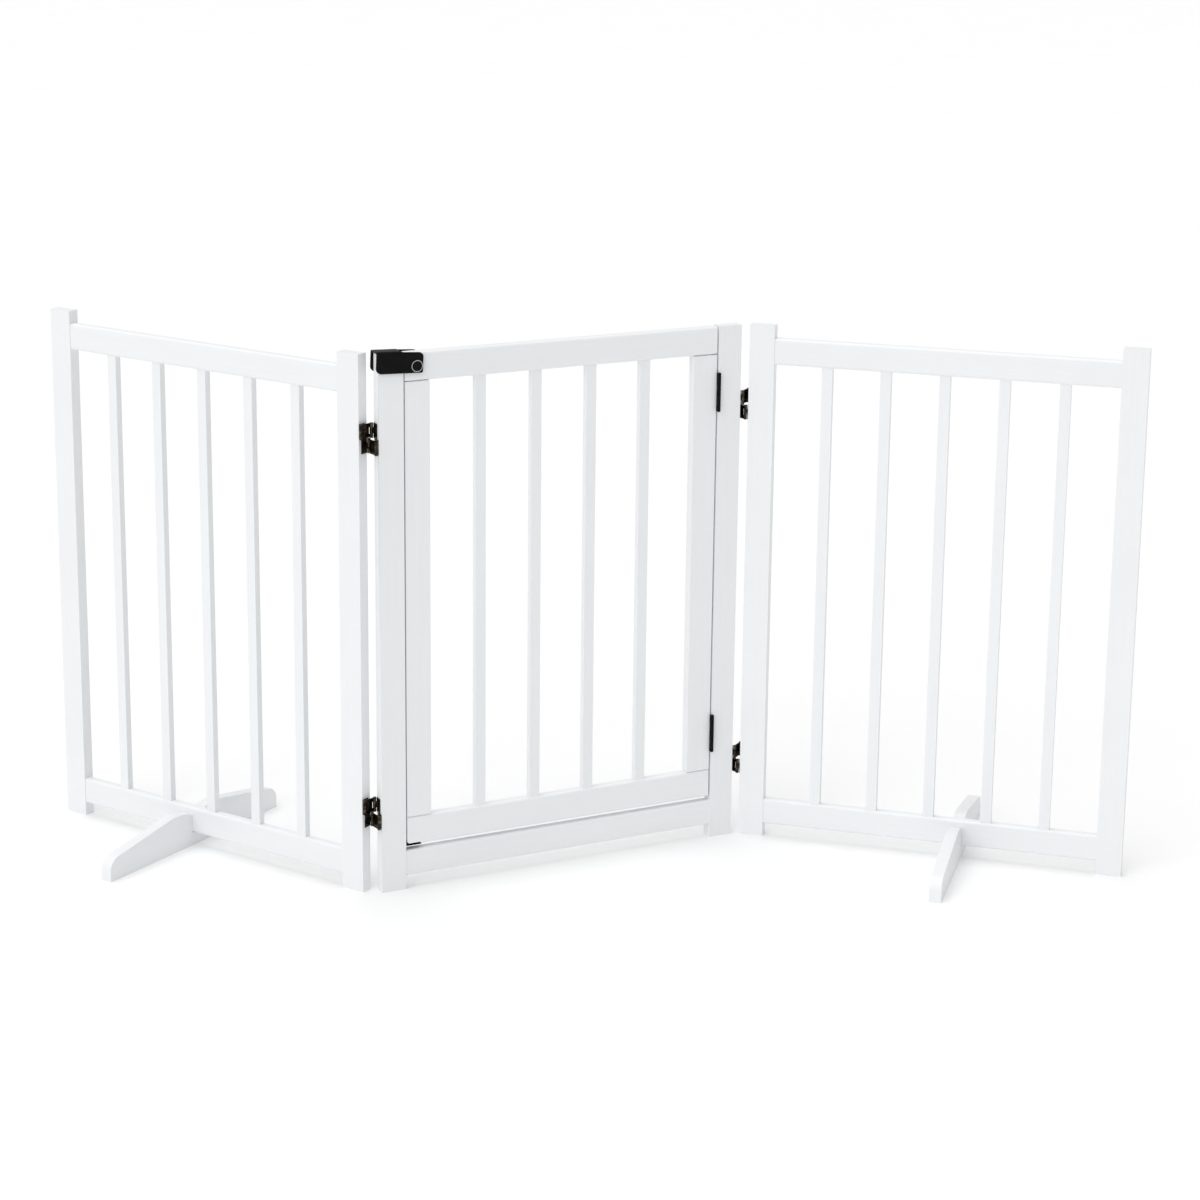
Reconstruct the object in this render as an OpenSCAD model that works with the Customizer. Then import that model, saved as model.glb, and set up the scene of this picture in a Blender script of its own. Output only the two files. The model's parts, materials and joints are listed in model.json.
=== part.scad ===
// Free-standing folding pet gate: three panels in a zigzag, with a latched door in the middle panel.
// Millimetres, +Z up. The middle frame is parallel to X, and the door opens towards the front, -Y.

/* [Timber] */
// Height of every post
gate_h = 762; // [700:1:850]
// Width of each folding side panel
side_w = 557; // [520:1:620]
// Width of the middle frame, over its two posts
frame_w = 549; // [520:1:620]
// Width of posts and stiles, seen from the front
post_w = 36; // [32:1:40]
// Depth of the posts, front to back
post_t = 17; // [16:1:20]
// Height of the rails
rail_h = 38; // [34:1:44]
// Depth of rails and stiles, front to back
rail_t = 15; // [13:1:16]
// Radius of the rails' rounded long edges
rail_r = 4; // [2:0.5:5]
// How far the side panels' top rails sit below the post tops
top_drop = 18; // [10:1:30]
// Height of the bottom rails' undersides above the floor
rail_lift = 19; // [18:1:26]
// Width of a slat, seen from the front
slat_w = 15; // [12:1:18]
// Depth of a slat
slat_t = 10; // [8:1:12]
// Slats in each side panel
side_slats = 5; // [5:1:5]
// Slats in the door
door_slats = 4; // [4:1:4]

/* [Door] */
// Gap between the door and each post
door_gap = 2.2; // [2:0.1:3]
// Gap between the door and the threshold rail
door_lift = 6; // [5:0.5:8]
// Height of the door's top rail
head_h = 40; // [38:1:44]
// Height of the door's bottom rail
kick_h = 42; // [38:1:46]
// Height of a door hinge
butt_h = 55; // [50:1:64]
// Height of the lower door hinge's middle above the floor
butt_low_z = 161; // [140:1:180]
// Height of the upper door hinge's middle above the floor
butt_high_z = 668; // [640:1:680]

/* [Latch] */
// Height of the latch pivot above the floor
pivot_z = 743.5; // [742:1:748]
// Distance from the latch pivot to the frame's left edge
pivot_x = 54; // [50:1:56]
// Thickness of the stirrup's arms and bridge
stirrup_t = 2.5; // [2:0.1:3.2]
// Gap between the stirrup and the post inside it
stirrup_gap = 0.9; // [0.5:0.1:1.2]

/* [Feet] */
// Length of a cross foot, front to back
foot_len = 360; // [300:5:380]
// Thickness of a cross foot
foot_t = 17; // [13:1:18]
// Height of a foot's arms beside the rail
foot_h = 53; // [48:1:56]
// Height of a foot's arms near their tips
foot_tip_h = 34; // [26:1:36]
// Radius of a foot's rounded tips
foot_r = 20; // [10:1:24]

/* [Fold hinges] */
// Angle of the left panel from straight, folded backwards
left_fold = 59; // [20:1:100]
// Angle of the right panel from straight, folded forwards
right_fold = 42; // [20:1:80]
// Height of a fold hinge
fold_h = 42; // [38:1:56]
// Height of the lower fold hinge's middle above the floor
fold_low_z = 115; // [105:1:140]
// Height of the upper fold hinge's middle above the floor
fold_high_z = 646; // [620:1:665]
// Length of a link between its two pivots
link_len = 19; // [18.5:0.1:20]
// Distance of the pivots from the post's end face
pivot_off = 3.8; // [3.8:0.1:4.5]
// Radius of the barrels
barrel_r = 2.5; // [2.3:0.1:2.5]
// Radius of the hinge pins
pin_r = 1.2; // [1:0.1:1.3]

/* [Hidden] */
$fn = 48;

skin = (post_t - rail_t) / 2;           // how far rails sit back from the post faces
slat_y = (post_t - slat_t) / 2;
top_z = gate_h - top_drop - rail_h;     // underside of the side panels' top rails
low_z = rail_lift + rail_h;             // top of the bottom rails
tenon = [18, 8, 24];                    // rail tenons: length, depth, height
slat_in = 8;                            // how far a slat goes into a rail
brad = [1, 14];                         // brad radius and length
screw_r = 1.5;
screw_len = 14;
run = 0.05;                             // radial clearance of a turning fit

// the door inside the middle frame
door_x0 = post_w + door_gap;
door_x1 = frame_w - post_w - door_gap;
door_z0 = low_z + door_lift;
door_z1 = gate_h;
door_in_z0 = door_z0 + kick_h;
door_in_z1 = door_z1 - head_h;

// door hinges: the pin stands in front of the post's edge, right of the gap
butt_leaf = 0.95;
butt_r = 2.5;
butt_pin_r = 1.25;
butt_x = frame_w - post_w + 0.1;
butt_y = -butt_r - 0.2;

// the foot sits under the gap between the second and third slats from the outer post
side_pitch = slat_w + (side_w - 2 * post_w - side_slats * slat_w) / (side_slats + 1);
foot_s = post_w + 2.5 * side_pitch - slat_w / 2;

// fold hinges: each leaf has two barrels, one per half, and two crossed links join them
leaf_t = 1.1;
half_h = fold_h / 2 - 0.3;
end_h = 5.8;                            // a link's two knuckles at each barrel
knuckle_h = half_h - 2 * end_h - 0.6;   // the leaf's one knuckle between them
leaf_step = 4.5;                        // each half of a leaf is cut back on the side without a barrel
pivot_gap = post_t;                     // distance between a leaf's two barrels
// open and closed distances between the barrels of the two leaves, folded by angle a
function spread(a) = sqrt(pow(pivot_gap * sin(a / 2), 2) + pow(link_len, 2) - pow(pivot_gap, 2));
function open_d(a) = spread(a) + pivot_gap * sin(a / 2);
function closed_d(a) = spread(a) - pivot_gap * sin(a / 2);
function away(a, d) = [-cos(a / 2) * d, sin(a / 2) * d];

// left gap, with the frame's left end face at x = 0: barrels of the frame and of the panel
frame_open = [-pivot_off, 0];
frame_closed = [-pivot_off, pivot_gap];
function panel_open(a) = frame_open + away(a, open_d(a));
function panel_closed(a) = frame_closed + away(a, closed_d(a));

// a point of a side panel, measured from its own front outer or hinge corner, in the frame's plan
function turn(a, p) = [p[0] * cos(a) + p[1] * sin(a), p[1] * cos(a) - p[0] * sin(a)];
function left_at(p) = panel_open(left_fold) + turn(left_fold, [p[0] - side_w - pivot_off, p[1]]);
function right_at(p) = [frame_w, post_t] - panel_closed(right_fold)
    + turn(right_fold, [p[0] + pivot_off, p[1]]);
foot_ends = [for (i = [-1, 1], j = [-1, 1]) [i * foot_t / 2, post_t / 2 + j * foot_len / 2]];
reach = concat(
    [for (y = [0, post_t]) left_at([0, y])],
    [for (y = [0, post_t]) right_at([side_w, y])],
    [for (p = foot_ends) left_at([foot_s + p[0], p[1]])],
    [for (p = foot_ends) right_at([side_w - foot_s + p[0], p[1]])]
);
mid_x = (min([for (p = reach) p[0]]) + max([for (p = reach) p[0]])) / 2;
mid_y = (min([for (p = reach) p[1]]) + max([for (p = reach) p[1]])) / 2;

// ---- places ----

module in_frame() translate([-mid_x, -mid_y, 0]) children();

module in_left_panel()
    in_frame() translate([panel_open(left_fold)[0], panel_open(left_fold)[1], 0])
        rotate([0, 0, -left_fold]) translate([-side_w - pivot_off, 0, 0]) children();

module in_right_panel() {
    p = [frame_w, post_t] - panel_closed(right_fold);
    in_frame() translate([p[0], p[1], 0]) rotate([0, 0, -right_fold])
        translate([pivot_off, 0, 0]) children();
}

// the frame's two end faces; the right one is the left one turned half round
module at_frame_end(right) {
    if (right) in_frame() translate([frame_w, post_t, 0]) rotate([0, 0, 180]) children();
    else in_frame() children();
}

// the side panels' end faces, as seen from the panel: the same leaf, turned half round
module at_left_panel_end()
    in_left_panel() translate([side_w, post_t, 0]) rotate([0, 0, 180]) children();
module at_right_panel_end() in_right_panel() children();

module at_fold_heights() for (z = [fold_low_z, fold_high_z]) translate([0, 0, z]) children();
module at_butt_heights() for (z = [butt_low_z, butt_high_z]) translate([0, 0, z]) children();

// ---- joinery ----

module bar(x0, x1, y0, y1, z0, z1) translate([x0, y0, z0]) cube([x1 - x0, y1 - y0, z1 - z0]);

// a hole or pin along +Y from the front face
module rod_y(x, z, r, y0, y1) translate([x, y0, z]) rotate([-90, 0, 0]) cylinder(r = r, h = y1 - y0);

// the tenon of a rail whose end is at x, reaching towards dir, centred at height z
module rail_tenon(x, dir, z)
    translate([dir > 0 ? x : x - tenon[0], (post_t - tenon[1]) / 2, z - tenon[2] / 2]) cube(tenon);

// a brad's place: 12 mm into the post from the rail's end at x, starting at depth y0
module brad_at(x, dir, z, y0 = 0) rod_y(x + dir * 12, z, brad[0], y0, brad[1]);

// section of a rail, h tall, with its four long edges rounded
module rail_section(h) {
    square([rail_t - 2 * rail_r, h], center = true);
    square([rail_t, h - 2 * rail_r], center = true);
    for (x = [-1, 1], y = [-1, 1])
        translate([x * (rail_t / 2 - rail_r), y * (h / 2 - rail_r)]) circle(r = rail_r);
}
module rail_bar(x0, x1, z0, z1) translate([x0, post_t / 2, (z0 + z1) / 2]) rotate([90, 0, 90])
    linear_extrude(height = x1 - x0) rail_section(z1 - z0);

// rail with a tenon at each end and its brad holes
module rail(x0, x1, z0, z1) difference() {
    union() {
        rail_bar(x0, x1, z0, z1);
        rail_tenon(x0, -1, (z0 + z1) / 2);
        rail_tenon(x1, 1, (z0 + z1) / 2);
    }
    brad_at(x0, -1, (z0 + z1) / 2);
    brad_at(x1, 1, (z0 + z1) / 2);
}

// post from x0, mortised and bored for rails that end at face x in direction dir
module post(x0, face, dir, rail_zs) difference() {
    bar(x0, x0 + post_w, 0, post_t, 0, gate_h);
    for (z = rail_zs) {
        rail_tenon(face, dir, z);
        brad_at(face, dir, z);
    }
}

// pilot holes for the screws of the fold hinge leaves, in an end face at x = 0 with the timber at x > 0
module leaf_screw_at() for (z = [-15, 0, 15]) translate([0, post_t / 2, z]) rotate([0, 90, 0]) children();
module leaf_pilots() at_fold_heights() leaf_screw_at() cylinder(r = screw_r, h = screw_len);

side_rail_zs = [low_z - rail_h / 2, top_z + rail_h / 2];
function side_slat_x(i) = post_w + side_pitch * i - slat_w;

module slat(x, z0, z1) bar(x, x + slat_w, slat_y, slat_y + slat_t, z0 - slat_in, z1 + slat_in);
module side_slat(i) slat(side_slat_x(i), low_z, top_z);
module side_mortises() for (i = [1:side_slats]) side_slat(i);

module side_top_rail() difference() {
    rail(post_w, side_w - post_w, top_z, top_z + rail_h);
    side_mortises();
}

// s is the middle of the foot, from the panel's own left end
module side_bottom_rail(s) difference() {
    rail(post_w, side_w - post_w, rail_lift, low_z);
    side_mortises();
    foot_screw_body(s);
}

// brad heads are set a little below the face
module side_brads() for (z = side_rail_zs) {
    brad_at(post_w, -1, z, 0.4);
    brad_at(side_w - post_w, 1, z, 0.4);
}

// ---- cross feet ----

function arc(cx, cz, r, a0, a1, n = 10) = [for (i = [0:n]) let (a = a0 + (a1 - a0) * i / n)
    [cx + r * cos(a), cz + r * sin(a)]];

// one half of the foot's outline, from the tip in: a round tip, a slope, and a low hump before the rail
hump_r = 92;
function foot_half() = let (h = foot_len / 2) concat(
    [[h, 0]],
    arc(h - foot_r, foot_tip_h - foot_r, foot_r, 0, 80),
    arc(42, foot_h - hump_r, hump_r, 81, 112, 8)
);

// the same outline's points mirrored, counted back from its end
function foot_far_side(i) = let (p = foot_half()[len(foot_half()) + i]) [-p[0], p[1]];

module foot(s) difference() {
    translate([s + foot_t / 2, post_t / 2, 0]) rotate([90, 0, -90]) linear_extrude(height = foot_t)
        polygon(concat(foot_half(), [for (i = [1:len(foot_half())]) foot_far_side(-i)]));
    bar(s - foot_t, s + foot_t, skin, post_t - skin, rail_lift, foot_h + 1);
    foot_screw_body(s);
}

// countersunk screw, up through the foot into the bottom rail, its head set into the underside
module foot_screw_body(s) translate([s, post_t / 2, 0]) {
    translate([0, 0, 1]) cylinder(r1 = 4.5, r2 = 2, h = 3);
    translate([0, 0, 4]) cylinder(r = 2, h = 40);
    translate([0, 0, -1]) cylinder(r = 4.5, h = 2);
}
module foot_screw(s) difference() {
    foot_screw_body(s);
    translate([s, post_t / 2, -2]) cylinder(r = 6, h = 3);
    translate([s, post_t / 2, 0]) for (a = [0, 90]) rotate([0, 0, a])
        translate([-2.4, -0.45, 0]) cube([4.8, 0.9, 2.2]);
}

// ---- fold hinges ----

// barrel of a leaf at y, its bottom at z, with the web that ties it to the plate
module leaf_knuckle(y, inward, z) translate([0, 0, z]) {
    translate([-pivot_off, y, 0]) cylinder(r = barrel_r, h = knuckle_h);
    translate([-pivot_off, inward > 0 ? y + 0.4 : y - 2.4, 0]) cube([pivot_off, 2, knuckle_h]);
}

// the leaf on an end face at x = 0: front barrel in the lower half, back barrel in the upper half
half_mid = fold_h / 4 + 0.15;
module fold_leaf() difference() {
    union() {
        translate([-leaf_t, 0.5, -fold_h / 2]) cube([leaf_t, post_t - 1 - leaf_step, fold_h / 2]);
        translate([-leaf_t, 0.5 + leaf_step, 0]) cube([leaf_t, post_t - 1 - leaf_step, fold_h / 2]);
        leaf_knuckle(0, 1, -half_mid - knuckle_h / 2);
        leaf_knuckle(pivot_gap, -1, half_mid - knuckle_h / 2);
    }
    translate([-pivot_off, 0, -fold_h / 2 - 1]) cylinder(r = pin_r, h = fold_h / 2 + 1);
    translate([-pivot_off, pivot_gap, 0]) cylinder(r = pin_r, h = fold_h / 2 + 1);
    leaf_screw_at() translate([0, 0, -leaf_t]) cylinder(r1 = 3, r2 = 1.9, h = leaf_t);
}

// countersunk screw along +X whose head is flush with the leaf
module leaf_screw() difference() {
    union() {
        translate([0, 0, -leaf_t]) cylinder(r1 = 3, r2 = 1.9, h = leaf_t);
        cylinder(r = screw_r, h = screw_len);
    }
    for (a = [0, 90]) rotate([0, 0, a]) translate([-1.7, -0.3, -leaf_t - 1]) cube([3.4, 0.6, 1.7]);
}
module leaf_screws() at_fold_heights() leaf_screw_at() leaf_screw();

// a link lies along +X from its pivot at the origin, centred on a half hinge: a plate with two knuckles
// at each end, and a shallow notch in its upper edge; an open far barrel has no pin through it
link_notch = 1.2;
module link_body(open_end) difference() {
    union() {
        for (x = [0, link_len], z = [-half_h / 2, half_h / 2 - end_h])
            translate([x, 0, z]) cylinder(r = barrel_r - 0.2, h = end_h);
        translate([0, -leaf_t / 2, -half_h / 2]) cube([link_len, leaf_t, end_h]);
        translate([0, -leaf_t / 2, half_h / 2 - end_h]) cube([link_len, leaf_t, end_h - link_notch]);
        translate([4.7, -leaf_t / 2, -half_h / 2]) cube([link_len - 9.4, leaf_t, half_h - link_notch]);
    }
    translate([0, 0, -half_h]) cylinder(r = pin_r + run, h = 2 * half_h);
    if (!open_end) translate([link_len, 0, -half_h]) cylinder(r = pin_r + run, h = 2 * half_h);
}

// in a gap's coordinates: the lower link joins the frame's open side to the panel's closed side,
// and the upper link, notch down, joins the frame's closed side to the panel's open side
module lower_link(a) {
    d = panel_closed(a) - frame_open;
    translate([frame_open[0], frame_open[1], -half_mid])
        rotate([0, 0, atan2(d[1], d[0])]) link_body(false);
}
module upper_link(a) {
    d = panel_open(a) - frame_closed;
    translate([frame_closed[0], frame_closed[1], half_mid])
        rotate([0, 0, atan2(d[1], d[0])]) mirror([0, 0, 1]) link_body(true);
}

// pins of the leaf on an end face at x = 0; a stub fills the knuckle that the open link end faces
module leaf_pins(stub) at_fold_heights() {
    translate([-pivot_off, 0, -fold_h / 2]) cylinder(r = pin_r, h = half_h);
    translate([-pivot_off, pivot_gap, stub ? half_mid - knuckle_h / 2 : 0.3])
        cylinder(r = pin_r, h = stub ? knuckle_h : half_h);
}

// ---- side panels ----

module left_outer_post() color("whitesmoke") in_left_panel() post(0, post_w, -1, side_rail_zs);
module left_hinge_post() color("whitesmoke") difference() {
    in_left_panel() post(side_w - post_w, side_w - post_w, 1, side_rail_zs);
    at_left_panel_end() leaf_pilots();
}
module left_top_rail() color("whitesmoke") in_left_panel() side_top_rail();
module left_bottom_rail() color("whitesmoke") in_left_panel() side_bottom_rail(foot_s);
module left_slat(i) color("white") in_left_panel() side_slat(i);
module left_slat_1() left_slat(1);
module left_slat_2() left_slat(2);
module left_slat_3() left_slat(3);
module left_slat_4() left_slat(4);
module left_slat_5() left_slat(5);
module left_foot() color("whitesmoke") in_left_panel() foot(foot_s);
module left_foot_screw() color("silver") in_left_panel() foot_screw(foot_s);
module left_brads() color("gainsboro") in_left_panel() side_brads();
module left_leaves() color("darkolivegreen") at_left_panel_end() at_fold_heights() fold_leaf();
module left_pins() color("dimgray") at_left_panel_end() leaf_pins(true);
module left_leaf_screws() color("dimgray") at_left_panel_end() leaf_screws();
module left_lower_links() color("saddlebrown") in_frame() at_fold_heights() lower_link(left_fold);
module left_upper_links() color("sienna") in_frame() at_fold_heights() upper_link(left_fold);

module right_hinge_post() color("whitesmoke") difference() {
    in_right_panel() post(0, post_w, -1, side_rail_zs);
    at_right_panel_end() leaf_pilots();
}
module right_outer_post() color("whitesmoke") in_right_panel()
    post(side_w - post_w, side_w - post_w, 1, side_rail_zs);
module right_top_rail() color("whitesmoke") in_right_panel() side_top_rail();
module right_bottom_rail() color("whitesmoke") in_right_panel() side_bottom_rail(side_w - foot_s);
module right_slat(i) color("white") in_right_panel() side_slat(i);
module right_slat_1() right_slat(1);
module right_slat_2() right_slat(2);
module right_slat_3() right_slat(3);
module right_slat_4() right_slat(4);
module right_slat_5() right_slat(5);
module right_foot() color("whitesmoke") in_right_panel() foot(side_w - foot_s);
module right_foot_screw() color("silver") in_right_panel() foot_screw(side_w - foot_s);
module right_brads() color("gainsboro") in_right_panel() side_brads();
module right_leaves() color("darkolivegreen") at_right_panel_end() at_fold_heights() fold_leaf();
module right_pins() color("dimgray") at_right_panel_end() leaf_pins(true);
module right_leaf_screws() color("dimgray") at_right_panel_end() leaf_screws();
module right_lower_links() color("saddlebrown")
    at_frame_end(true) at_fold_heights() lower_link(right_fold);
module right_upper_links() color("sienna")
    at_frame_end(true) at_fold_heights() upper_link(right_fold);

// ---- middle frame ----

threshold_z = [low_z - rail_h / 2];
module latch_post() color("whitesmoke") difference() {
    in_frame() post(0, post_w, -1, threshold_z);
    at_frame_end(false) leaf_pilots();
}
module door_hinge_post() color("whitesmoke") difference() {
    in_frame() post(frame_w - post_w, frame_w - post_w, 1, threshold_z);
    at_frame_end(true) leaf_pilots();
    in_frame() at_butt_heights() butt_screw_at(frame_w - post_w, 1) cylinder(r = 1.3, h = 12);
}
module threshold_rail() color("whitesmoke") in_frame() rail(post_w, frame_w - post_w, rail_lift, low_z);
module frame_brads() color("gainsboro") in_frame() for (z = threshold_z) {
    brad_at(post_w, -1, z, 0.4);
    brad_at(frame_w - post_w, 1, z, 0.4);
}
module frame_leaves_left() color("darkolivegreen") at_frame_end(false) at_fold_heights() fold_leaf();
module frame_leaves_right() color("darkolivegreen") at_frame_end(true) at_fold_heights() fold_leaf();
module frame_pins() color("dimgray") for (right = [false, true]) at_frame_end(right) leaf_pins(false);
module frame_leaf_screws() color("dimgray") for (right = [false, true]) at_frame_end(right) leaf_screws();

// ---- door hinges ----

butt_seg = (butt_h - 4 * 0.3) / 5;

// knuckles of one leaf, at the numbered fifths of the hinge; x0 is the leaf's own side of the gap
module butt_leaf_body(x0, fifths) difference() {
    union() {
        translate([x0, 0.4, -butt_h / 2]) cube([butt_leaf, 13, butt_h]);
        for (i = fifths) translate([0, 0, -butt_h / 2 + i * (butt_seg + 0.3)]) {
            translate([x0, butt_y, 0]) cube([butt_leaf, 1 - butt_y, butt_seg]);
            translate([butt_x, butt_y, 0]) cylinder(r = butt_r, h = butt_seg);
        }
    }
    translate([butt_x, butt_y, -butt_h])
        cylinder(r = len(fifths) > 2 ? butt_pin_r : butt_pin_r + run, h = 2 * butt_h);
}

module butt_screw_at(x, dir)
    for (z = [-20, 0, 20]) translate([x, 7.5, z]) rotate([0, 90 * dir, 0]) children();

// countersunk screw whose head fills the leaf and whose shank goes into the timber
module butt_screw() difference() {
    union() {
        translate([0, 0, -butt_leaf]) cylinder(r1 = 2.5, r2 = 1.6, h = butt_leaf);
        cylinder(r = 1.3, h = 12);
    }
    for (a = [0, 90]) rotate([0, 0, a]) translate([-1.4, -0.25, -butt_leaf - 1]) cube([2.8, 0.5, 1.6]);
}
module butt_head() translate([0, 0, -butt_leaf]) cylinder(r1 = 2.5, r2 = 1.6, h = butt_leaf);

module door_hinge_frame_leaves() color("black") in_frame() at_butt_heights() difference() {
    butt_leaf_body(frame_w - post_w - butt_leaf, [0, 2, 4]);
    butt_screw_at(frame_w - post_w, 1) butt_head();
}
module door_hinge_frame_screws() color("dimgray") in_frame() at_butt_heights()
    butt_screw_at(frame_w - post_w, 1) butt_screw();
module door_hinge_door_leaves() color("black") in_frame() at_butt_heights() difference() {
    butt_leaf_body(door_x1, [1, 3]);
    butt_screw_at(door_x1, -1) butt_head();
}
module door_hinge_door_screws() color("dimgray") in_frame() at_butt_heights()
    butt_screw_at(door_x1, -1) butt_screw();
module door_hinge_pins() color("dimgray") in_frame() at_butt_heights() translate([butt_x, butt_y, 0]) {
    translate([0, 0, -butt_h / 2]) cylinder(r = butt_pin_r, h = butt_h);
    for (m = [0, 1]) mirror([0, 0, m])
        translate([0, 0, butt_h / 2]) cylinder(r1 = 2, r2 = 1.2, h = 0.9);
}

// ---- door ----

door_pitch = slat_w + (door_x1 - door_x0 - 2 * post_w - door_slats * slat_w) / (door_slats + 1);
stile_tenon = [24, 8, 12];

module door_slat(i) color("white") in_frame()
    slat(door_x0 + post_w + door_pitch * i - slat_w, door_in_z0, door_in_z1);
// the stiles' shoulders stop this far short of the rails, which leaves a fine dark line at each joint
shoulder = 0.5;
module stile_body(x) {
    bar(x, x + post_w, skin, post_t - skin, door_in_z0 + shoulder, door_in_z1 - shoulder);
    for (z = [door_in_z0 - stile_tenon[2], door_in_z1 - shoulder])
        translate([x + (post_w - stile_tenon[0]) / 2, (post_t - stile_tenon[1]) / 2, z])
            cube(stile_tenon + [0, 0, shoulder]);
}
module door_rail(z0, z1) in_frame() difference() {
    rail_bar(door_x0, door_x1, z0, z1);
    for (x = [door_x0, door_x1 - post_w]) stile_body(x);
    for (i = [1:door_slats]) slat(door_x0 + post_w + door_pitch * i - slat_w, door_in_z0, door_in_z1);
}
module door_top_rail() color("whitesmoke") difference() {
    door_rail(door_in_z1, door_z1);
    in_frame() rod_y(pivot_x, pivot_z, 3, -1, post_t + 1);
}
module door_bottom_rail() color("whitesmoke") difference() {
    door_rail(door_z0, door_in_z0);
    in_frame() corner_plate_body(0);
    in_frame() corner_screw_body();
}
module door_latch_stile() color("whitesmoke") in_frame() stile_body(door_x0);
module door_hinge_stile() color("whitesmoke") in_frame() difference() {
    stile_body(door_x1 - post_w);
    at_butt_heights() butt_screw_at(door_x1, -1) cylinder(r = 1.3, h = 12);
}
module door_slat_1() door_slat(1);
module door_slat_2() door_slat(2);
module door_slat_3() door_slat(3);
module door_slat_4() door_slat(4);

// angle plate let into the underside of the door's lower corner on the latch side; drop is how far
// it stands proud of the rail's faces
plate_t = 3.2;
plate_x1 = door_x0 + 21;
module corner_plate_body(drop)
    translate([0, post_t - skin + drop, 0]) rotate([90, 0, 0])
        linear_extrude(height = rail_t + 2 * drop)
            polygon([[door_x0, door_z0], [plate_x1, door_z0], [plate_x1 - 2, door_z0 + plate_t],
                [door_x0 + 2.4, door_z0 + plate_t], [door_x0, door_z0 + plate_t + 2]]);
module corner_screw_body() translate([door_x0 + 11, post_t / 2, door_z0]) {
    cylinder(r1 = 3.2, r2 = 1.6, h = 2);
    translate([0, 0, 2]) cylinder(r = 1.6, h = 14);
}
module door_corner_plate() color("black") in_frame() difference() {
    union() {
        corner_plate_body(0);
        bar(door_x0 - 1.2, door_x0, skin, post_t - skin - 3, door_z0, door_z0 + 6);
    }
    corner_screw_body();
}
module door_corner_screw() color("dimgray") in_frame() difference() {
    corner_screw_body();
    translate([door_x0 + 11, post_t / 2, door_z0]) for (a = [0, 90]) rotate([0, 0, a])
        translate([-1.7, -0.3, -1]) cube([3.4, 0.6, 1.8]);
}

// ---- latch ----

// at rest the stirrup leans on the post's top, its bridge end turned up by this much
latch_rest = 2.4;
arm_left = -3.7;
arm_right = pivot_x + 9;
arm_low = pivot_z - 9.5;
bridge_z = gate_h - 0.7;
arm_high = bridge_z + 0.6;
bridge_x = 31;
front_y = -stirrup_gap - stirrup_t;
back_y = post_t + stirrup_gap + stirrup_t;

// outline of an arm, seen from the front: its bridge end is higher, its free end rounded at the pivot
arm_outline = concat(
    [[arm_left, bridge_z + stirrup_t]],
    arc(arm_left + 7, arm_low + 7, 7, 180, 270),
    arc(arm_right - 2.5, arm_low + 2.5, 2.5, 270, 360, 6),
    arc(arm_right - 6, arm_high - 6, 6, 0, 90),
    [[bridge_x + 3, bridge_z + stirrup_t - 1.2], [bridge_x, bridge_z + stirrup_t]]
);

// section of the bent plate across the post: two arms, the bridge, and a round bend at each side
bend_r = 3.6;
module stirrup_section() difference() {
    polygon(concat([[front_y, arm_low]],
        arc(front_y + bend_r, bridge_z + stirrup_t - bend_r, bend_r, 180, 90, 8),
        arc(back_y - bend_r, bridge_z + stirrup_t - bend_r, bend_r, 90, 0, 8),
        [[back_y, arm_low]]));
    translate([front_y + stirrup_t, arm_low - 1])
        square([back_y - front_y - 2 * stirrup_t, bridge_z - arm_low + 1]);
}

module latch_stirrup() color([0.08, 0.08, 0.08]) in_frame()
    translate([pivot_x, 0, pivot_z]) rotate([0, latch_rest, 0]) translate([-pivot_x, 0, -pivot_z])
        difference() {
            intersection() {
                translate([arm_left, 0, 0]) rotate([90, 0, 90])
                    linear_extrude(height = arm_right - arm_left) stirrup_section();
                translate([0, back_y + 1, 0]) rotate([90, 0, 0])
                    linear_extrude(height = back_y - front_y + 2) polygon(arm_outline);
            }
            bar(bridge_x, arm_right + 1, front_y + stirrup_t, back_y - stirrup_t, arm_low, bridge_z + 4);
            rod_y(pivot_x, pivot_z, 3 + run, front_y - 1, back_y + 1);
        }

// pivot bolt: a low cap in front, a shank through both arms and the rail, and a cap behind
module latch_bolt() color([0.1, 0.1, 0.1]) in_frame() {
    rod_y(pivot_x, pivot_z, 6.4, front_y - 1.6, front_y - 0.1);
    rod_y(pivot_x, pivot_z, 3, front_y - 0.2, back_y + 0.2);
    rod_y(pivot_x, pivot_z, 6.4, back_y + 0.1, back_y + 1.9);
}
module latch_ring() color("silver") in_frame() difference() {
    rod_y(pivot_x, pivot_z, 8.1, front_y - 1.3, front_y - 0.1);
    rod_y(pivot_x, pivot_z, 7, front_y - 2, front_y + 1);
}

left_outer_post();
left_hinge_post();
left_top_rail();
left_bottom_rail();
left_slat_1();
left_slat_2();
left_slat_3();
left_slat_4();
left_slat_5();
left_foot();
left_foot_screw();
left_brads();
left_leaves();
left_pins();
left_leaf_screws();
right_outer_post();
right_hinge_post();
right_top_rail();
right_bottom_rail();
right_slat_1();
right_slat_2();
right_slat_3();
right_slat_4();
right_slat_5();
right_foot();
right_foot_screw();
right_brads();
right_leaves();
right_pins();
right_leaf_screws();
latch_post();
door_hinge_post();
threshold_rail();
frame_brads();
frame_leaves_left();
frame_leaves_right();
frame_pins();
frame_leaf_screws();
door_hinge_frame_leaves();
door_hinge_frame_screws();
door_hinge_pins();
left_lower_links();
left_upper_links();
right_lower_links();
right_upper_links();
door_top_rail();
door_bottom_rail();
door_latch_stile();
door_hinge_stile();
door_slat_1();
door_slat_2();
door_slat_3();
door_slat_4();
door_corner_plate();
door_corner_screw();
door_hinge_door_leaves();
door_hinge_door_screws();
latch_bolt();
latch_ring();
latch_stirrup();
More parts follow.
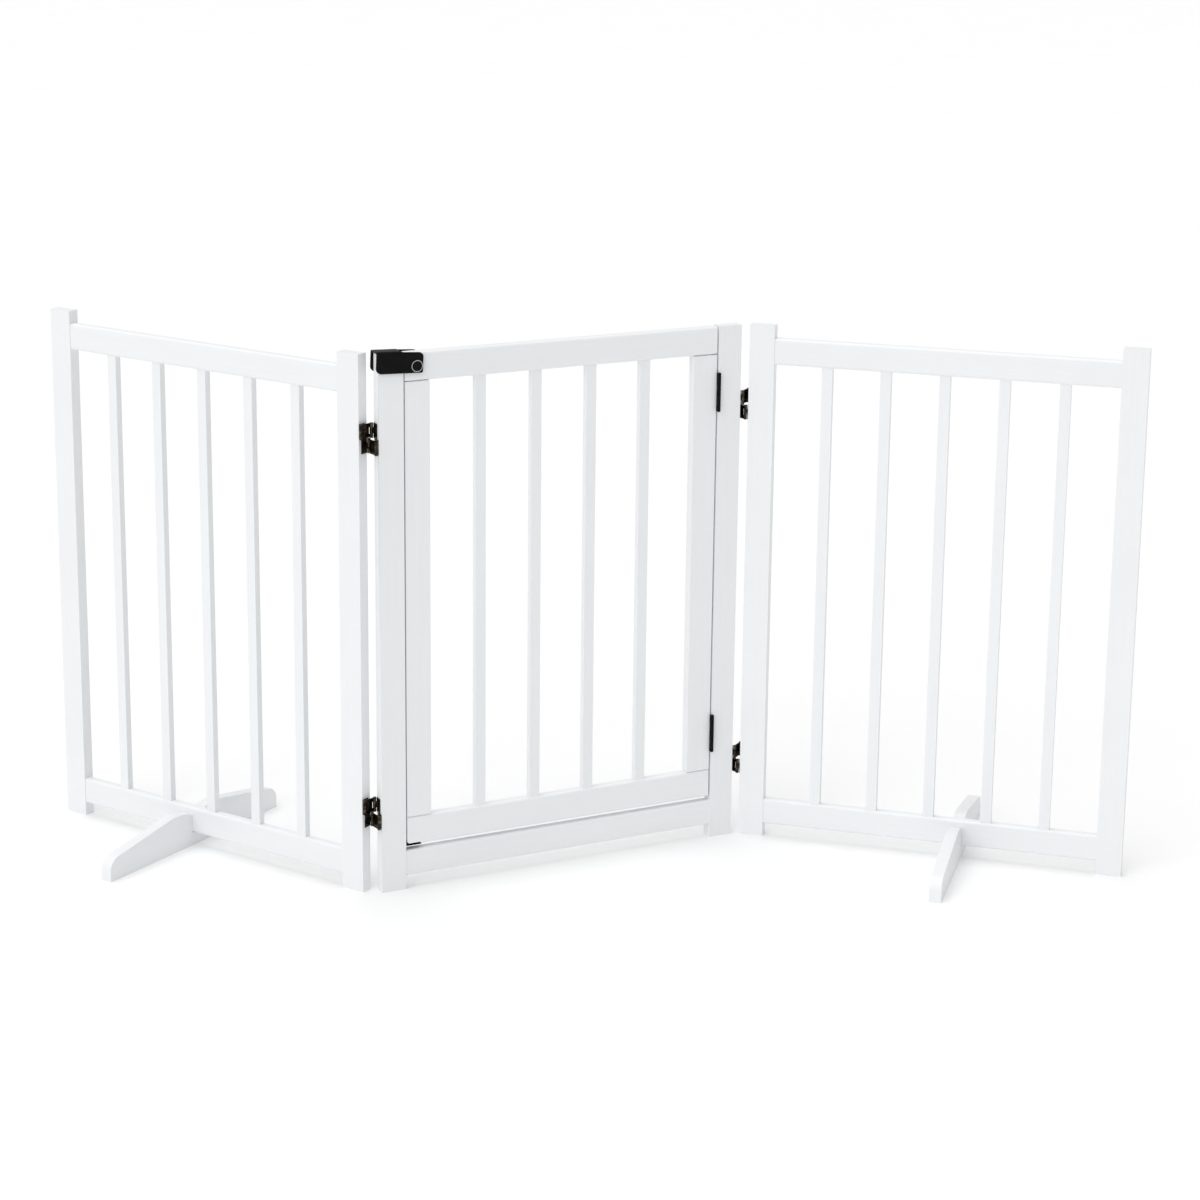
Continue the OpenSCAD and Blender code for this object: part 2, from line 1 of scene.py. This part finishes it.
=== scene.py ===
"""White folding pet gate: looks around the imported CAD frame. Metres, +Z up, floor at z = 0."""
import json
import math

import bmesh
import bpy
from mathutils import Matrix, Vector


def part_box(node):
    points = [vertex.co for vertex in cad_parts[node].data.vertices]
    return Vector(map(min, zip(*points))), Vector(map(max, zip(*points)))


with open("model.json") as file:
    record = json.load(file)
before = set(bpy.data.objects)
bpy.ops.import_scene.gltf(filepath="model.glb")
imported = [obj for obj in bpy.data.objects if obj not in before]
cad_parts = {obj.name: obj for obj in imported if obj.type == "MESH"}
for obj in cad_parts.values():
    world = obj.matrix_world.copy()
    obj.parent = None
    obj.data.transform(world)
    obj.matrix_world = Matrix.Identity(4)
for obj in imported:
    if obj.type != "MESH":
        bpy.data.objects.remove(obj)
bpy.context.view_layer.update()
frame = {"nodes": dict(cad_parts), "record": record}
nodes = frame["nodes"]
record = frame["record"]

# Bevel widths on the CAD's sharp edges.
UPRIGHT_EDGE = 0.0013
TIMBER_EDGE = 0.0008
PLATE_EDGE = 0.0004
HINGE_EDGE = 0.00018
SHARP_ANGLE = 35
FLAT_ANGLE = 1

# Scale of the noise coordinates along the grain: low, so that the noise draws out into fibres.
ALONG_GRAIN = 0.04

# Linear colours.
PAINT_SHADE = (0.828, 0.843, 0.860)
PAINT_LIGHT = (0.846, 0.860, 0.874)
PAINT_STREAK = (0.988, 0.988, 0.987)
PAINT_PORE = (0.80, 0.815, 0.83)
WHITE = (1.0, 1.0, 1.0)
BRONZE_DARK = (0.020, 0.016, 0.013)
BRONZE_WARM = (0.080, 0.065, 0.043)
# The rubbed bronze colour is partly rubbed wear and partly a painted highlight on the hinges.
BRONZE_RUBBED_HIGHLIGHT = (0.36, 0.31, 0.22)
RING_METAL = (0.42, 0.42, 0.41)
ZINC = (0.62, 0.62, 0.60)
FLOOR_SHADE = 0.945
FLOOR_LIGHT = 0.955

# Lights: direction from the gate to the light, strength, and width in degrees.
LEFT_WINDOW = ((-0.889, -0.458, 0.70), 0.88, 50)
OVERHEAD = ((-0.05, 0.1, 1.0), 1.26, 60)
SURROUND = 0.55

# How far the floor reaches and the camera sees.
FLOOR_REACH = 60

# Camera: angles in degrees, lens in mm, upward shift as a share of the picture,
# and place measured from the middle frame's lower front left corner.
CAMERA_YAW = 25.954
CAMERA_PITCH = -13.28
CAMERA_ROLL = 0.618
CAMERA_SENSOR = 36
CAMERA_LENS = 83.265
CAMERA_SHIFT = -0.134417
CAMERA_FROM_CORNER = Vector((-1.3118, -3.3697, 1.5020))

# ---------------------------------------------------------------- shader helpers


class Shader:
    """One Principled material, built up from coordinates that stay with the piece."""

    def __init__(self, name, **values):
        self.mat = bpy.data.materials.new(name)
        self.mat.use_nodes = True
        self.nodes = self.mat.node_tree.nodes
        self.links = self.mat.node_tree.links
        self.bsdf = next(node for node in self.nodes if node.type == "BSDF_PRINCIPLED")
        for key, value in values.items():
            self.bsdf.inputs[key.replace("_", " ")].default_value = value
        self.coords = self.nodes.new("ShaderNodeTexCoord").outputs["Object"]
        self.normal = None

    def mapped(self, scale=(1, 1, 1), turn=0.0):
        """Coordinates turned by turn degrees about Z, then scaled: a low scale draws noise out."""
        turned = self.nodes.new("ShaderNodeMapping")
        turned.inputs["Rotation"].default_value = (0, 0, math.radians(turn))
        self.links.new(self.coords, turned.inputs["Vector"])
        stretched = self.nodes.new("ShaderNodeMapping")
        stretched.inputs["Scale"].default_value = scale
        self.links.new(turned.outputs["Vector"], stretched.inputs["Vector"])
        return stretched.outputs["Vector"]

    def noise(self, vector, scale, detail, rough=0.5, distort=0.0):
        node = self.nodes.new("ShaderNodeTexNoise")
        node.inputs["Scale"].default_value = scale
        node.inputs["Detail"].default_value = detail
        node.inputs["Roughness"].default_value = rough
        node.inputs["Distortion"].default_value = distort
        self.links.new(vector, node.inputs["Vector"])
        return node.outputs["Fac"]

    def ramp(self, factor, stops):
        """Colour ramp; each stop is a place and a colour, or a place and a grey level."""
        node = self.nodes.new("ShaderNodeValToRGB")
        elements = node.color_ramp.elements
        while len(elements) < len(stops):
            elements.new(0.5)
        for element, (place, colour) in zip(elements, stops):
            if isinstance(colour, float):
                colour = (colour, colour, colour)
            element.position = place
            element.color = (*colour, 1)
        self.links.new(factor, node.inputs["Fac"])
        return node.outputs["Color"]

    def mix(self, factor, first, second, mode="MIX"):
        """Blend of two colours; each input is a socket or a constant."""
        node = self.nodes.new("ShaderNodeMix")
        node.data_type = "RGBA"
        node.blend_type = mode
        sockets = (node.inputs[0], node.inputs[6], node.inputs[7])
        for socket, value in zip(sockets, (factor, first, second)):
            if isinstance(value, bpy.types.NodeSocket):
                self.links.new(value, socket)
            elif isinstance(value, tuple):
                socket.default_value = (*value, 1)
            else:
                socket.default_value = value
        return node.outputs[2]

    def range(self, factor, low, high):
        node = self.nodes.new("ShaderNodeMapRange")
        node.inputs["To Min"].default_value = low
        node.inputs["To Max"].default_value = high
        self.links.new(factor, node.inputs["Value"])
        return node.outputs["Result"]

    def set(self, name, output):
        self.links.new(output, self.bsdf.inputs[name])

    def bump(self, height, distance, strength):
        """Adds a bump on top of any made before."""
        node = self.nodes.new("ShaderNodeBump")
        node.inputs["Strength"].default_value = strength
        node.inputs["Distance"].default_value = distance
        self.links.new(height, node.inputs["Height"])
        if self.normal is not None:
            self.links.new(self.normal, node.inputs["Normal"])
        self.normal = node.outputs["Normal"]
        self.set("Normal", self.normal)


# ---------------------------------------------------------------- materials


def scaled(colour, factor):
    return tuple(level * factor for level in colour)


def painted_wood(name, grain, turn):
    """White satin paint over fine wood; the grain runs along an axis of the piece turned straight."""
    paint = Shader(name, IOR=1.45, Coat_Weight=0.08, Coat_Roughness=0.3)
    fibre = paint.mapped([ALONG_GRAIN if axis == grain else 1 for axis in "xyz"], turn)
    plain = paint.mapped(turn=turn)
    pores = paint.noise(fibre, scale=1300, detail=4, rough=0.6, distort=0.2)
    figure = paint.noise(fibre, scale=240, detail=4, distort=0.5)
    peel = paint.noise(plain, scale=520, detail=2)
    broad = paint.noise(plain, scale=7, detail=3)
    sheen = paint.noise(plain, scale=60, detail=4, rough=0.6)
    tone = paint.ramp(broad, [(0.3, PAINT_SHADE), (0.7, PAINT_LIGHT)])
    streak = paint.ramp(figure, [(0.36, PAINT_STREAK), (0.6, WHITE)])
    tint = paint.mix(1.0, tone, streak, "MULTIPLY")
    in_pore = paint.ramp(pores, [(0.24, 1.0), (0.33, 0.0)])
    paint.set("Base Color", paint.mix(in_pore, tint, PAINT_PORE))
    paint.set("Roughness", paint.range(sheen, 0.4, 0.52))
    paint.bump(figure, distance=0.00003, strength=0.4)
    paint.bump(pores, distance=0.00002, strength=0.4)
    paint.bump(peel, distance=0.00002, strength=0.45)
    return paint.mat


def antique_bronze(name, bright=1.0):
    """Dark antique bronze, brighter in small clouds that are rubbed wear and painted highlight in one,
    and darkened again in specks.
    """
    bronze = Shader(name, Metallic=1.0)
    plain = bronze.mapped()
    cloud = bronze.noise(plain, scale=150, detail=5, rough=0.62, distort=0.4)
    speck = bronze.noise(plain, scale=800, detail=4, rough=0.6)
    dark = scaled(BRONZE_DARK, bright)
    warm = scaled(BRONZE_WARM, bright)
    rubbed_highlight = scaled(BRONZE_RUBBED_HIGHLIGHT, bright)
    # The brightest clouds are rubbed wear and a painted highlight together.
    base = bronze.ramp(cloud, [(0.42, dark), (0.56, warm), (0.72, rubbed_highlight)])
    bronze.set("Base Color", bronze.mix(bronze.range(speck, 0.0, 0.5), base, dark))
    bronze.set("Roughness", bronze.range(cloud, 0.36, 0.22))
    bronze.bump(cloud, distance=0.00005, strength=0.35)
    bronze.bump(speck, distance=0.00002, strength=0.3)
    return bronze.mat


def black_coat(name, level, rough, scale, depth):
    """Black powder coat or enamel with its fine orange peel and worn, greyer spots."""
    coat = Shader(name, IOR=1.5, Specular_IOR_Level=0.07)
    plain = coat.mapped()
    peel = coat.noise(plain, scale, detail=3)
    cloud = coat.noise(plain, scale=60, detail=5, rough=0.6)
    coat.set("Base Color", coat.ramp(cloud, [(0.3, level), (0.8, level * 2.2)]))
    coat.set("Roughness", coat.range(cloud, rough - 0.06, rough + 0.08))
    coat.bump(peel, depth, strength=0.5)
    coat.bump(coat.noise(plain, scale * 3, detail=2), depth * 0.3, strength=0.4)
    return coat.mat


def bright_metal(name, colour, rough):
    """Plain bright metal with a fine, slightly darker mottle."""
    metal = Shader(name, Metallic=1.0)
    fine = metal.noise(metal.mapped(), scale=700, detail=4, rough=0.6)
    metal.set("Base Color", metal.mix(metal.range(fine, 0.0, 1.0), colour, scaled(colour, 0.78)))
    metal.set("Roughness", metal.range(fine, rough - 0.06, rough + 0.08))
    metal.bump(fine, distance=0.00002, strength=0.4)
    return metal.mat


def plan_turn(side):
    """How far a side panel is turned about Z, in degrees, from its bottom rail's box in plan."""
    low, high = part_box(side + "_bottom_rail")
    return math.degrees(math.atan2(high.y - low.y, high.x - low.x))


turn_left = plan_turn("left")
turn_right = plan_turn("right")
PAINT = {
    "upright": painted_wood("paint_upright", "z", 0),
    "frame_rail": painted_wood("paint_frame_rail", "x", 0),
    "left_rail": painted_wood("paint_left_rail", "x", turn_left),
    "right_rail": painted_wood("paint_right_rail", "x", turn_right),
    "left_foot": painted_wood("paint_left_foot", "y", turn_left),
    "right_foot": painted_wood("paint_right_foot", "y", turn_right),
}
BY_SLOT = {
    "bronze_hinge": antique_bronze("antique_bronze"),
    "bronze_screw": antique_bronze("antique_bronze_screws", bright=1.5),
    "black_metal": black_coat("black_enamel", level=0.0035, rough=0.3, scale=500, depth=0.00002),
    "black_screw": black_coat("black_enamel_screws", level=0.006, rough=0.3, scale=500, depth=0.00002),
    "latch_black": black_coat("black_powder_coat", level=0.003, rough=0.36, scale=800, depth=0.00003),
    "silver_ring": bright_metal("bright_ring", RING_METAL, rough=0.22),
    "steel_screw": bright_metal("zinc_screw", ZINC, rough=0.36),
    "painted_brad": PAINT["frame_rail"],
}


def paint_key(node):
    """Which paint a piece gets, by the way its grain runs."""
    if "rail" in node:
        if node.startswith(("door", "threshold")):
            return "frame_rail"
        return node.split("_")[0] + "_rail"
    if "foot" in node:
        return node.split("_")[0] + "_foot"
    return "upright"


def bevel(piece, width, segments):
    """Merges flat facets, then rounds the sharp edges."""
    merge = piece.modifiers.new("planar", "DECIMATE")
    merge.decimate_type = "DISSOLVE"
    merge.angle_limit = math.radians(FLAT_ANGLE)
    edges = piece.modifiers.new("edges", "BEVEL")
    edges.width = width
    edges.segments = segments
    edges.limit_method = "ANGLE"
    edges.angle_limit = math.radians(SHARP_ANGLE)
    edges.harden_normals = True
    edges.use_clamp_overlap = True


slot_of = {part["node"]: part["material_slot"] for part in record["subparts"]}
for name, piece in nodes.items():
    painted = slot_of[name] == "painted_wood"
    piece.data.materials.clear()
    piece.data.materials.append(PAINT[paint_key(name)] if painted else BY_SLOT[slot_of[name]])
    if painted:
        bevel(piece, UPRIGHT_EDGE if "slat" in name or "post" in name else TIMBER_EDGE, segments=3)
    elif name in ("latch_stirrup", "latch_bolt", "door_corner_plate"):
        bevel(piece, PLATE_EDGE, segments=2)
    elif "leaves" in name or "links" in name:
        bevel(piece, HINGE_EDGE, segments=2)

# ---------------------------------------------------------------- floor, light and camera


def add_object(name, data):
    added = bpy.data.objects.new(name, data)
    bpy.context.scene.collection.objects.link(added)
    return added


def stage_floor():
    mesh = bpy.data.meshes.new("floor")
    grid = bmesh.new()
    bmesh.ops.create_grid(grid, x_segments=1, y_segments=1, size=FLOOR_REACH)
    grid.to_mesh(mesh)
    grid.free()
    paint = Shader("floor_paint", Roughness=0.6)
    broad = paint.noise(paint.mapped(), scale=3, detail=3, rough=0.55)
    paint.set("Base Color", paint.ramp(broad, [(0.3, FLOOR_SHADE), (0.7, FLOOR_LIGHT)]))
    mesh.materials.append(paint.mat)
    add_object("floor", mesh)


def sun(name, towards, strength, width):
    """A wide, distant light; towards is the direction from the gate to it."""
    light = bpy.data.lights.new(name, "SUN")
    light.energy = strength
    light.angle = math.radians(width)
    add_object(name, light).rotation_euler = Vector(towards).to_track_quat("Z", "Y").to_euler()


def studio():
    world = bpy.data.worlds.new("studio")
    world.use_nodes = True
    background = next(node for node in world.node_tree.nodes if node.type == "BACKGROUND")
    background.inputs["Color"].default_value = (*WHITE, 1)
    background.inputs["Strength"].default_value = SURROUND
    bpy.context.scene.world = world
    sun("left_window", *LEFT_WINDOW)
    sun("overhead", *OVERHEAD)
    view = bpy.context.scene.view_settings
    view.view_transform = "Standard"
    view.look = "None"
    view.exposure = 0.0


def camera():
    """The photo's viewpoint: turned to the right by the yaw, tipped down, and rolled a little."""
    yaw = math.radians(CAMERA_YAW)
    pitch = math.radians(CAMERA_PITCH)
    roll = math.radians(CAMERA_ROLL)
    level = Vector((math.sin(yaw), math.cos(yaw), 0))
    forward = level * math.cos(pitch) + Vector((0, 0, math.sin(pitch)))
    level_right = Vector((math.cos(yaw), -math.sin(yaw), 0))
    level_up = level_right.cross(forward)
    right = level_right * math.cos(roll) + level_up * math.sin(roll)
    up = level_up * math.cos(roll) - level_right * math.sin(roll)
    data = bpy.data.cameras.new("camera")
    data.sensor_width = CAMERA_SENSOR
    data.lens = CAMERA_LENS
    data.shift_y = CAMERA_SHIFT
    data.clip_start = 0.05
    data.clip_end = FLOOR_REACH
    place = Matrix((right, up, -forward)).transposed().to_4x4()
    place.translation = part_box("latch_post")[0] + CAMERA_FROM_CORNER
    added = add_object("camera", data)
    added.matrix_world = place
    bpy.context.scene.camera = added


stage_floor()
studio()
camera()
